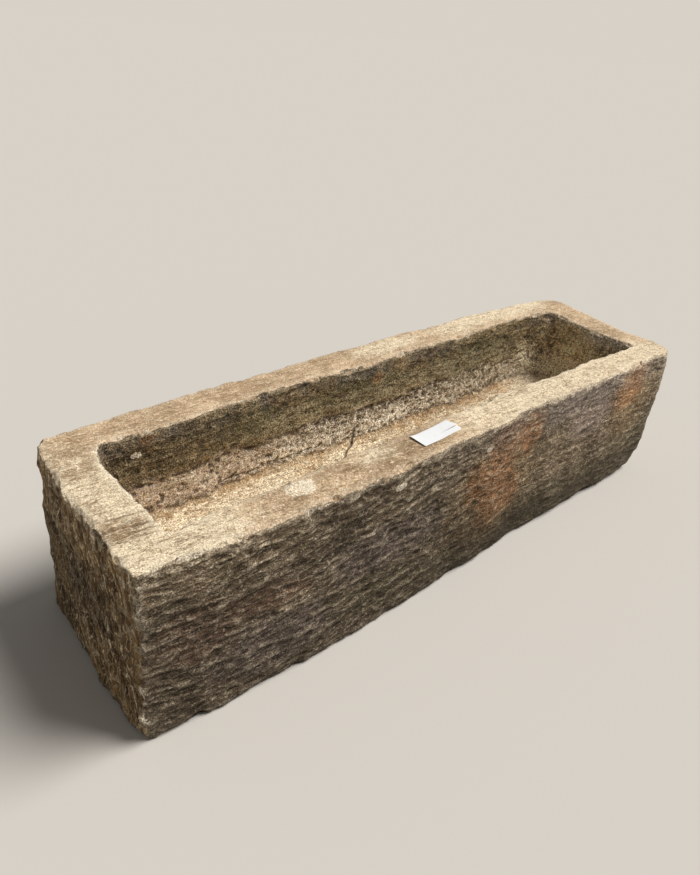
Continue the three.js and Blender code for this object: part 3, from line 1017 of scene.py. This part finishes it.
def outer_masks(at):
    """Soot, which also lies in the cavity, and the outer walls' foot, darker near the ground, worn
    upright edges and brightness."""
    x, y, z = at.x, at.y, at.z
    under_lip = smooth(z + 10 * MM * at.rough, TOP - 50 * MM, TOP - 22 * MM)
    soot = at.cavity * under_lip * smooth(layers((x / 0.2, y / 0.2), 1430, 3), -0.35, 0.25)
    front = smooth(at.facing_front, 0.2, 0.6) * (y < 0) * at.outside
    high = smooth(z + 30 * MM * at.rougher, TOP - 120 * MM, TOP - 30 * MM)
    low = (1 - smooth(z + 25 * MM * at.rougher, 0.03, 0.14)) * smooth(x, -0.32, -0.05)
    between = (z < TOP - 25 * MM) * (z > NEAR_FOOT) * at.outside
    return {
        "soot": np.maximum(soot, 0.8 * front * high * smooth(x, -0.3, 0.1)),
        "foot": (1 - smooth(z + 8 * MM * at.rough, 4 * MM, 26 * MM)) * at.outside,
        "low": low * (1 - 0.5 * smooth(x, 0.5, 0.65)) * at.outside,
        "arris": smooth(-at.broad, 4.7 * MM, 5.7 * MM) * between * smooth(at.rough, -0.5, -0.1),
        "bright": brightness(at) / BRIGHT_MOST,
    }


def paint_masks(mesh, fresh, crack):
    """Marks where each kind of weathering lies, for the material."""
    at = Surface(mesh)
    masks = face_masks(at) | cavity_masks(at) | outer_masks(at)
    masks |= {"fresh": fresh, "crack": crack}
    masks["streaked"] = at.top * bedding_streaks(at.x, at.y)
    for name, spots in PATCHES.items():
        masks[name] = sum(ragged_patch(at.points, *spot) for spot in spots)
    for name, values in masks.items():
        layer = mesh.attributes.new(name, "FLOAT", "POINT")
        layer.data.foreach_set("value", np.clip(values, 0, 1).astype(np.float32))


def outer_colour(graph):
    """The outer walls: dark weathered stone with stains and tints, painted highlight on its ridges
    and flake edges, and painted shade in its hollows and under its ripples.
    """
    sides = graph.rest("end")
    stone = graph.coat(
        graph.blend(("cloud", 0.42, 0.6), END_DARK, END_STONE),
        (END_HOLLOW, 0.5, ("upright", 0.52, 0.58)),
        (END_HOLLOW, 0.35, "dusk"),
    )
    rust = graph.blend(("speck", 0.38, 0.5), RUST_DARK, RUST_COLOUR)
    rust = graph.coat(rust, (RUST_DARK, 0.75, "red"))
    colour = graph.coat(
        graph.blend(("cloud", 0.36, 0.66), WALL_DARK, WALL_MID),
        (WALL_OLIVE, 0.5, ("blotch", 0.48, 0.64)),
        (WALL_OLIVE, 0.5, "olive"),
        (WALL_PURPLE, 0.7, "purple"),
        (WALL_RED, 0.7, "red"),
        (WALL_PALE, 0.45, ("layer", 0.5, 0.68)),
        (stone, 0.9, "end"),
        (WALL_GOLD, 0.6, "gold"),
        (rust, 0.92, "rust", ("blotch", 0.34, 0.48)),
        (SOOT_COLOUR, 0.4, "soot"),
        # Painted shade in the hollows, and painted highlight on the crests
        (WALL_DARKEST_AND_SHADE, 0.7, "hollow"),
        (WALL_PAINTED_HIGHLIGHT, 0.52, "crest", ("blotch", 0.36, 0.6)),
        # Painted shade: thin dark lines under the ripples
        (WALL_DARKEST_AND_SHADE, 0.6, ("ripple", 0.018), sides),
        (WALL_PALE, 0.3, ("thread", 0.61, 0.67), sides),
        (END_SCRATCH_AND_HIGHLIGHT, 0.85, ("thread", 0.59, 0.63), ("blotch", 0.46, 0.54), "end"),
        (WALL_DARKEST_AND_SHADE, 0.4, ("thread", 0.39, 0.34)),
        # Painted highlight along the flakes' edges, on the long faces and the ends
        (WALL_PAINTED_HIGHLIGHT, 0.4, ("flake_edge", 0.08, 0.015), ("speck", 0.44, 0.56), sides),
        (END_SCRATCH_AND_HIGHLIGHT, 0.5, ("flake_edge", 0.08, 0.015), ("speck", 0.44, 0.56), "end"),
        (FRESH_AND_PAINTED_LIGHT, 0.85, "arris", ("upright", 0.54, 0.48)),
        (WALL_DARKEST_AND_SHADE, 0.55, "foot"),
        (WALL_OLIVE, 0.3, "low"),
        (WALL_DARKEST_AND_SHADE, 0.42, "low"),
        (END_HOLLOW, 0.35, "dusk", sides),
    )
    return graph.brighten(colour, graph.scaled("bright", 0.9 * BRIGHT_MOST, 0.95))


def cavity_colour(graph):
    """The cavity's walls: damp and olive above, paler, pitted and scratched below; painted shade in
    hollows and under the ledge, painted highlight on crests, painted light at the far end.
    """
    many = graph.scaled("rooty", 0.6, 0.4)
    lower = graph.coat(
        graph.blend(("blotch", 0.4, 0.62), PIT_PINK, PIT_TAN),
        (PIT_OLIVE, 0.85, "rooty", ("blotch", 0.6, 0.46)),
        (PIT_PALE, 0.85, ("speck", 0.57, 0.62), many),
        (PIT_PALE, 0.5, "dusty"),
        (PIT_DARK_AND_SHADE, 0.8, ("speck", 0.41, 0.36), many),
        (PIT_DARK_AND_SHADE, 0.9, ("speck", 0.35, 0.32)),
        (PIT_DARK_AND_SHADE, 0.9, ("pit", 0.32, 0.22), ("blotch", 0.48, 0.54)),
        (PIT_PALE, 0.9, ("pit", 0.58, 0.68), many),
        # Painted shade in the hollows, and painted highlight on the crests
        (PIT_DARK_AND_SHADE, 0.8, "hollow"),
        (PIT_PALE, 0.4, "crest"),
        (PIT_PALE, 0.95, ("roots", 0.02), graph.scaled("rooty", 0.7, 0.25)),
        (PIT_DARK_AND_SHADE, 0.6, ("ripple", 0.014), "rooty"),
    )
    lower = graph.brighten(lower, graph.scaled("dusty", 0.6, 1.0))
    lower = graph.blend(1.0, lower, PIT_PALE, "DARKEN")
    upper = graph.coat(
        graph.blend(("cloud", 0.35, 0.65), DAMP_DARK, DAMP_OLIVE),
        (DAMP_GOLD, 0.6, ("blotch", 0.48, 0.55)),
        (DAMP_GOLD, 0.55, ("layer", 0.5, 0.6)),
        (DAMP_GREEN, 0.7, "olive"),
        (DAMP_PALE, 0.4, "warm"),
        (DAMP_DARK, 0.6, "dusk"),
        (SOOT_COLOUR, 0.6, "soot"),
        # Painted shade in the hollows, and painted highlight on the crests
        (WALL_DARKEST_AND_SHADE, 0.62, "hollow"),
        (DAMP_PALE, 0.6, "crest", ("blotch", 0.4, 0.6)),
        (WALL_DARKEST_AND_SHADE, 0.8, ("ripple", 0.018)),
        # Painted highlight along the flakes' edges
        (DAMP_PALE, 0.6, ("flake_edge", 0.07, 0.0), ("speck", 0.46, 0.56)),
        (DAMP_PALE, 0.6, ("roots", 0.014), ("blotch", 0.45, 0.6)),
    )
    colour = graph.coat(
        graph.blend("damp", lower, upper),
        # Painted shade: the dark line under the ledge
        (PIT_DARK_AND_SHADE, 0.8, "ledge"),
        (RUST_COLOUR, 0.55, "rust", ("speck", 0.42, 0.54)),
    )
    # Painted light: the far end made paler, up to a limit
    paler = graph.blend(1.0, colour, PAINTED_LIGHT_FACTOR, "MULTIPLY")
    return graph.blend("lit", colour, graph.blend(1.0, paler, PAINTED_LIGHT_MOST, "DARKEN"))


def floor_colour(graph):
    """The cavity's floor: golden sand with brown and pale streaks, painted shade in its hollows and
    light painted at its far end.
    """
    colour = graph.coat(
        graph.blend(("cloud", 0.42, 0.58), FLOOR_TAN, FLOOR_PALE),
        (FLOOR_BROWN, 0.45, ("blotch", 0.53, 0.62)),
        (RIM_CREAM, 0.6, ("blotch", 0.45, 0.36)),
        (RIM_CREAM, 0.7, "cream"),
        (FLOOR_BROWN, 0.6, ("streak", 0.52, 0.59)),
        (FLOOR_BROWN, 0.85, ("hair", 0.55, 0.59)),
        (RIM_CREAM, 0.95, ("speck", 0.53, 0.59), graph.scaled(("cloud", 0.44, 0.54), 0.6, 0.4)),
        (FLOOR_BROWN, 0.85, ("speck", 0.42, 0.37)),
        (RIM_DARK, 0.8, ("speck", 0.36, 0.33)),
        (FRESH_AND_PAINTED_LIGHT, 0.9, ("speck", 0.6, 0.63)),
        (RIM_DARK, 0.8, ("pit", 0.22, 0.12), ("blotch", 0.48, 0.54)),
        # Painted shade in the hollows, and painted light at the far end
        (FLOOR_BROWN, 0.7, "hollow"),
        (FRESH_AND_PAINTED_LIGHT, 0.5, "lit"),
    )
    return graph.blend("dim", colour, FLOOR_DIM, "MULTIPLY")


def rim_colour(graph):
    """The rim: pale and dusty, with brown streaks along it, a few bright flecks, painted shade in
    its hollows and painted highlight on its crests.
    """
    patchy = graph.scaled(("cloud", 0.56, 0.44), 0.75, 0.25)
    return graph.coat(
        graph.blend(("cloud", 0.38, 0.62), RIM_TAN, RIM_PALE),
        (RIM_CREAM, 0.95, "cream"),
        (RIM_BROWN, 0.4, ("blotch", 0.53, 0.62)),
        (RIM_BROWN, 0.68, "brown", ("blotch", 0.38, 0.5)),
        (RIM_CREAM, 0.45, ("streak", 0.45, 0.35)),
        (RIM_BROWN, 0.5, ("streak", 0.53, 0.61)),
        (RIM_BROWN, 0.95, ("hair", 0.55, 0.59), patchy),
        (RIM_CREAM, 0.85, ("hair", 0.43, 0.38), patchy),
        (RIM_BROWN, 0.7, ("speck", 0.56, 0.6)),
        (RIM_DARK, 0.75, "torn", ("hair", 0.53, 0.58)),
        (RIM_DARK, 0.75, "streaked"),
        (RIM_CREAM, 0.65, ("speck", 0.43, 0.38)),
        (RIM_DARK, 0.9, "torn", ("streak", 0.022)),
        (RIM_BROWN, 0.6, "flecked", ("speck", 0.5, 0.6)),
        (FRESH_AND_PAINTED_LIGHT, 0.85, "flecked", ("speck", 0.42, 0.36)),
        # Painted shade in the hollows, and painted highlight on the crests
        (RIM_DARK, 0.5, "hollow"),
        (FRESH_AND_PAINTED_LIGHT, 0.5, "crest", ("speck", 0.48, 0.58)),
        (FRESH_AND_PAINTED_LIGHT, 0.95, graph.step("lichen", 0.15, 0.45), ("speck", 0.47, 0.5)),
        (RIM_DARK, 0.45, ("streak", 0.008), ("blotch", 0.48, 0.56)),
    )


def stone_tones(graph):
    """The noises that the stone's colours and relief share."""
    noise, cells = graph.noise, graph.cells

    def by_face(on_sides, on_ends):
        """One noise on the long faces and another on the ends."""
        return graph.scaled("end", graph.sum("SUBTRACT", on_ends, on_sides), on_sides)

    on_sides, on_ends = (0.028, 0.028, 0.0125), (0.013, 0.013, 0.044)
    return {
        "cloud": noise(0.085, 6.0, 0.62, 0.8),
        "blotch": noise(0.026, 6.0, 0.65, 0.6, 0.7),
        "speck": noise(0.0068, 5.0, 0.72, 0.3, 1.3),
        "grain": noise(0.0028, 2.0, 0.6, 0.0, 0.4),
        "layer": noise((0.045, 0.045, 0.014), 6.0, 0.68, 1.2),
        "ripple": noise((0.05, 0.05, 0.011), 5.0, 0.62, 0.9, 0.05),
        "upright": noise((0.014, 0.014, 0.05), 6.0, 0.68, 1.0),
        "streak": noise((0.075, 0.01, 0.01), 6.0, 0.7, 0.9, 0.08),
        "hair": noise((0.024, 0.0046, 0.0046), 5.0, 0.72, 1.6, 0.1),
        "pit": cells(0.0125, 1.1),
        "roots": noise(0.018, 4.0, 0.62, 1.6, 0.9),
        "thread": by_face(
            noise((0.024, 0.0065, 0.0042), 4.0, 0.66, 0.9, 0.06),
            noise((0.007, 0.007, 0.046), 3.0, 0.6, 0.8),
        ),
        "flake": by_face(cells(on_sides, 1.1), cells(on_ends, 1.0)),
        "flake_edge": by_face(
            cells(on_sides, 1.1, "DISTANCE_TO_EDGE"), cells(on_ends, 1.0, "DISTANCE_TO_EDGE")
        ),
    }


def stone_relief(graph, calm):
    """The finest relief, which each kind of face has its own share of. It is lower where calm."""
    tone = graph.tone
    bright = graph.sum("MAXIMUM", graph.mask("top"), graph.mask("floor"))
    outside = graph.times(graph.rest("cavity"), graph.rest("top"))
    inside = graph.scaled(outside, -0.7, graph.scaled(bright, -0.75, 1.0))
    flaked = graph.scaled(graph.times(graph.mask("cavity"), graph.mask("damp")), 0.6, outside)
    many = graph.scaled("rooty", 0.6, 0.4)
    pitted = graph.times(graph.mask("cavity"), graph.rest("damp"), many)
    mottled = graph.sum("ADD", tone["speck"], graph.times(tone["blotch"], 1.5))
    relief = None
    for depth, *heights in (
        (4.0 * MM, tone["ripple"], outside),
        (5.6 * MM, tone["flake"], flaked, graph.scaled("far", -0.4, 1.0)),
        (4.0 * MM, mottled, inside, graph.scaled(calm, -0.3, 1.0)),
        (4.0 * MM, tone["pit"], pitted),
        (2.6 * MM, tone["thread"], inside),
        (1.2 * MM, tone["hair"], bright),
        (1.1 * MM, tone["grain"]),
    ):
        relief = graph.bump(graph.times(*heights), depth, relief)
    return relief


def stone_material():
    """Weathered sandstone: a pale dusty top, dark outer walls, and a damp, pitted cavity."""
    graph = Graph(bpy.data.materials.new("weathered_stone"))
    graph.tone = stone_tones(graph)
    colour = graph.blend("cavity", outer_colour(graph), cavity_colour(graph))
    colour = graph.blend("floor", colour, floor_colour(graph))
    colour = graph.coat(
        graph.blend("top", colour, rim_colour(graph)),
        (FRESH_AND_PAINTED_LIGHT, 0.8, "fresh", ("speck", 0.4, 0.5)),
        (FRESH_AND_PAINTED_LIGHT, 0.95, graph.step("pale", 0.25, 0.5)),
        (FRESH_AND_PAINTED_LIGHT, 0.75, "lip", ("speck", 0.42, 0.5)),
        (CRACK_COLOUR, 0.92, "crack"),
    )
    calm = graph.times(graph.mask("cavity"), graph.rest("damp"), graph.rest("rooty"))
    lively = graph.scaled("cavity", 0.3, 0.7)
    for place, change in (("top", -0.32), ("floor", -0.12), ("end", -0.3), (calm, -0.2)):
        lively = graph.scaled(place, change, lively)
    thread, grain = graph.tone["thread"], graph.tone["grain"]
    flecks = graph.times(graph.contrast(thread, 1.4), graph.contrast(grain, 6.0))
    colour = graph.brighten(colour, graph.scaled(graph.sum("SUBTRACT", flecks, 1.0), lively, 1.0))
    roughness = graph.scaled(graph.tone["speck"], 0.16, 0.8)
    return graph.finish(colour, roughness, stone_relief(graph, calm))


def unwrap(mesh):
    """Lays the stone's faces out flat by the side that each one looks to, in one square."""
    points = read_points(mesh)
    centres, normals = (read(mesh.polygons, what, 3, np.float32) for what in ("center", "normal"))
    sides = sides_of(centres, normals)
    side_of_face = np.argmax(np.stack(list(sides.values())), 0)
    side_of_corner = np.repeat(side_of_face, read(mesh.polygons, "loop_total"))
    corners = read(mesh.loops, "vertex_index")
    place = np.zeros((len(corners), 2))
    for number, name in enumerate(sides):
        (u_axis, v_axis), scale, (u_start, v_start) = ATLAS[name]
        mine = side_of_corner == number
        spot = points[corners[mine]] - BLOCK_LOW
        place[mine, 0] = u_start + scale * spot[:, u_axis]
        place[mine, 1] = v_start + scale * spot[:, v_axis]
    layer = mesh.uv_layers.new(name="OFBake")
    layer.data.foreach_set("uv", (place / ATLAS_SIZE).astype(np.float32).ravel())


def make_stone():
    """The block, in place of its CAD solid."""
    piece = fine_copy(frame["nodes"]["trough_block"], "hewn_block")
    fresh, crack = hew(piece.data)
    paint_masks(piece.data, fresh, crack)
    unwrap(piece.data)
    piece.data.materials.append(stone_material())
    piece.data.shade_smooth()
    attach(piece, "root")
    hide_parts("trough_block")


def paper_material():
    """Plain paper with faint fibres and a little dust from the stone."""
    graph = Graph(bpy.data.materials.new("tag_paper"))
    dust = graph.step(graph.noise(0.02, 5.0, 0.65), 0.52, 0.75)
    colour = graph.blend(graph.sum("MULTIPLY", dust, 0.35), PAPER, PAPER_DUST)
    fibres = graph.noise((0.0015, 0.0006, 0.001), 4.0, 0.7)
    crumple = graph.noise(0.012, 3.0, 0.5)
    normal = graph.bump(crumple, 0.5 * MM)
    normal = graph.bump(fibres, 0.06 * MM, normal)
    return graph.finish(colour, 0.75, normal)


def tag_lift(along, row, behind_slit):
    """How high the sheet stands above the rim, at shares of its length and width."""
    curl = TAG_CURL * max(0.0, 1 - along / 0.22) ** 2 * (0.25 + 0.75 * row)
    wave = 0.5 * MM * (1 - row) * (1 + math.sin(along * 9.0 + 0.6))
    slit = max(0.0, (along - TAG_SLIT[1]) / (1 - TAG_SLIT[1]))
    if behind_slit:
        return curl + wave + TAG_SLIT_LIFT * slit * (1 - 0.6 * (row - TAG_SLIT[0]))
    return curl + wave


def add_strip(mesh, rows, behind_slit):
    """Adds the rows of the sheet on one side of its slit."""
    grid = []
    for row in rows:
        end = np.interp(row, TORN_AT, TORN_LENGTH)
        line = []
        for along in np.linspace(0, 1, TAG_STEPS + 1):
            lift = tag_lift(along, row, behind_slit)
            spot = ((along * end - 0.5) * TAG_LENGTH, (row - 0.5) * TAG_WIDTH, lift)
            line.append(mesh.verts.new(spot))
        grid.append(line)
    for front, back in zip(grid, grid[1:]):
        for i in range(TAG_STEPS):
            mesh.faces.new((front[i], front[i + 1], back[i + 1], back[i]))


def make_tag():
    """A thin sheet that curls up at one end, and is torn and slit at the other."""
    rows = sorted({*np.linspace(0, 1, TAG_ROWS), TAG_SLIT[0]})
    mesh = bmesh.new()
    add_strip(mesh, [row for row in rows if row <= TAG_SLIT[0]], behind_slit=False)
    add_strip(mesh, [row for row in rows if row >= TAG_SLIT[0]], behind_slit=True)
    bmesh.ops.remove_doubles(mesh, verts=mesh.verts, dist=0.01 * MM)
    data = bpy.data.meshes.new("torn_tag")
    mesh.to_mesh(data)
    mesh.free()
    place = Matrix.Translation((TAG_MIDDLE[0], TAG_MIDDLE[1], TAG_LOW[2]))
    data.transform(place @ Matrix.Rotation(TAG_TURN, 4, "Z"))
    data.materials.append(paper_material())
    data.shade_smooth()
    piece = placed("torn_tag", data)
    thickness = piece.modifiers.new("paper", "SOLIDIFY")
    thickness.thickness = TAG_THICKNESS
    thickness.offset = 1.0
    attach(piece, "root")
    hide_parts("paper_tag")


scene = bpy.context.scene
scene.view_settings.view_transform = "Standard"
make_camera()
make_ground()
make_light()
make_stone()
make_tag()
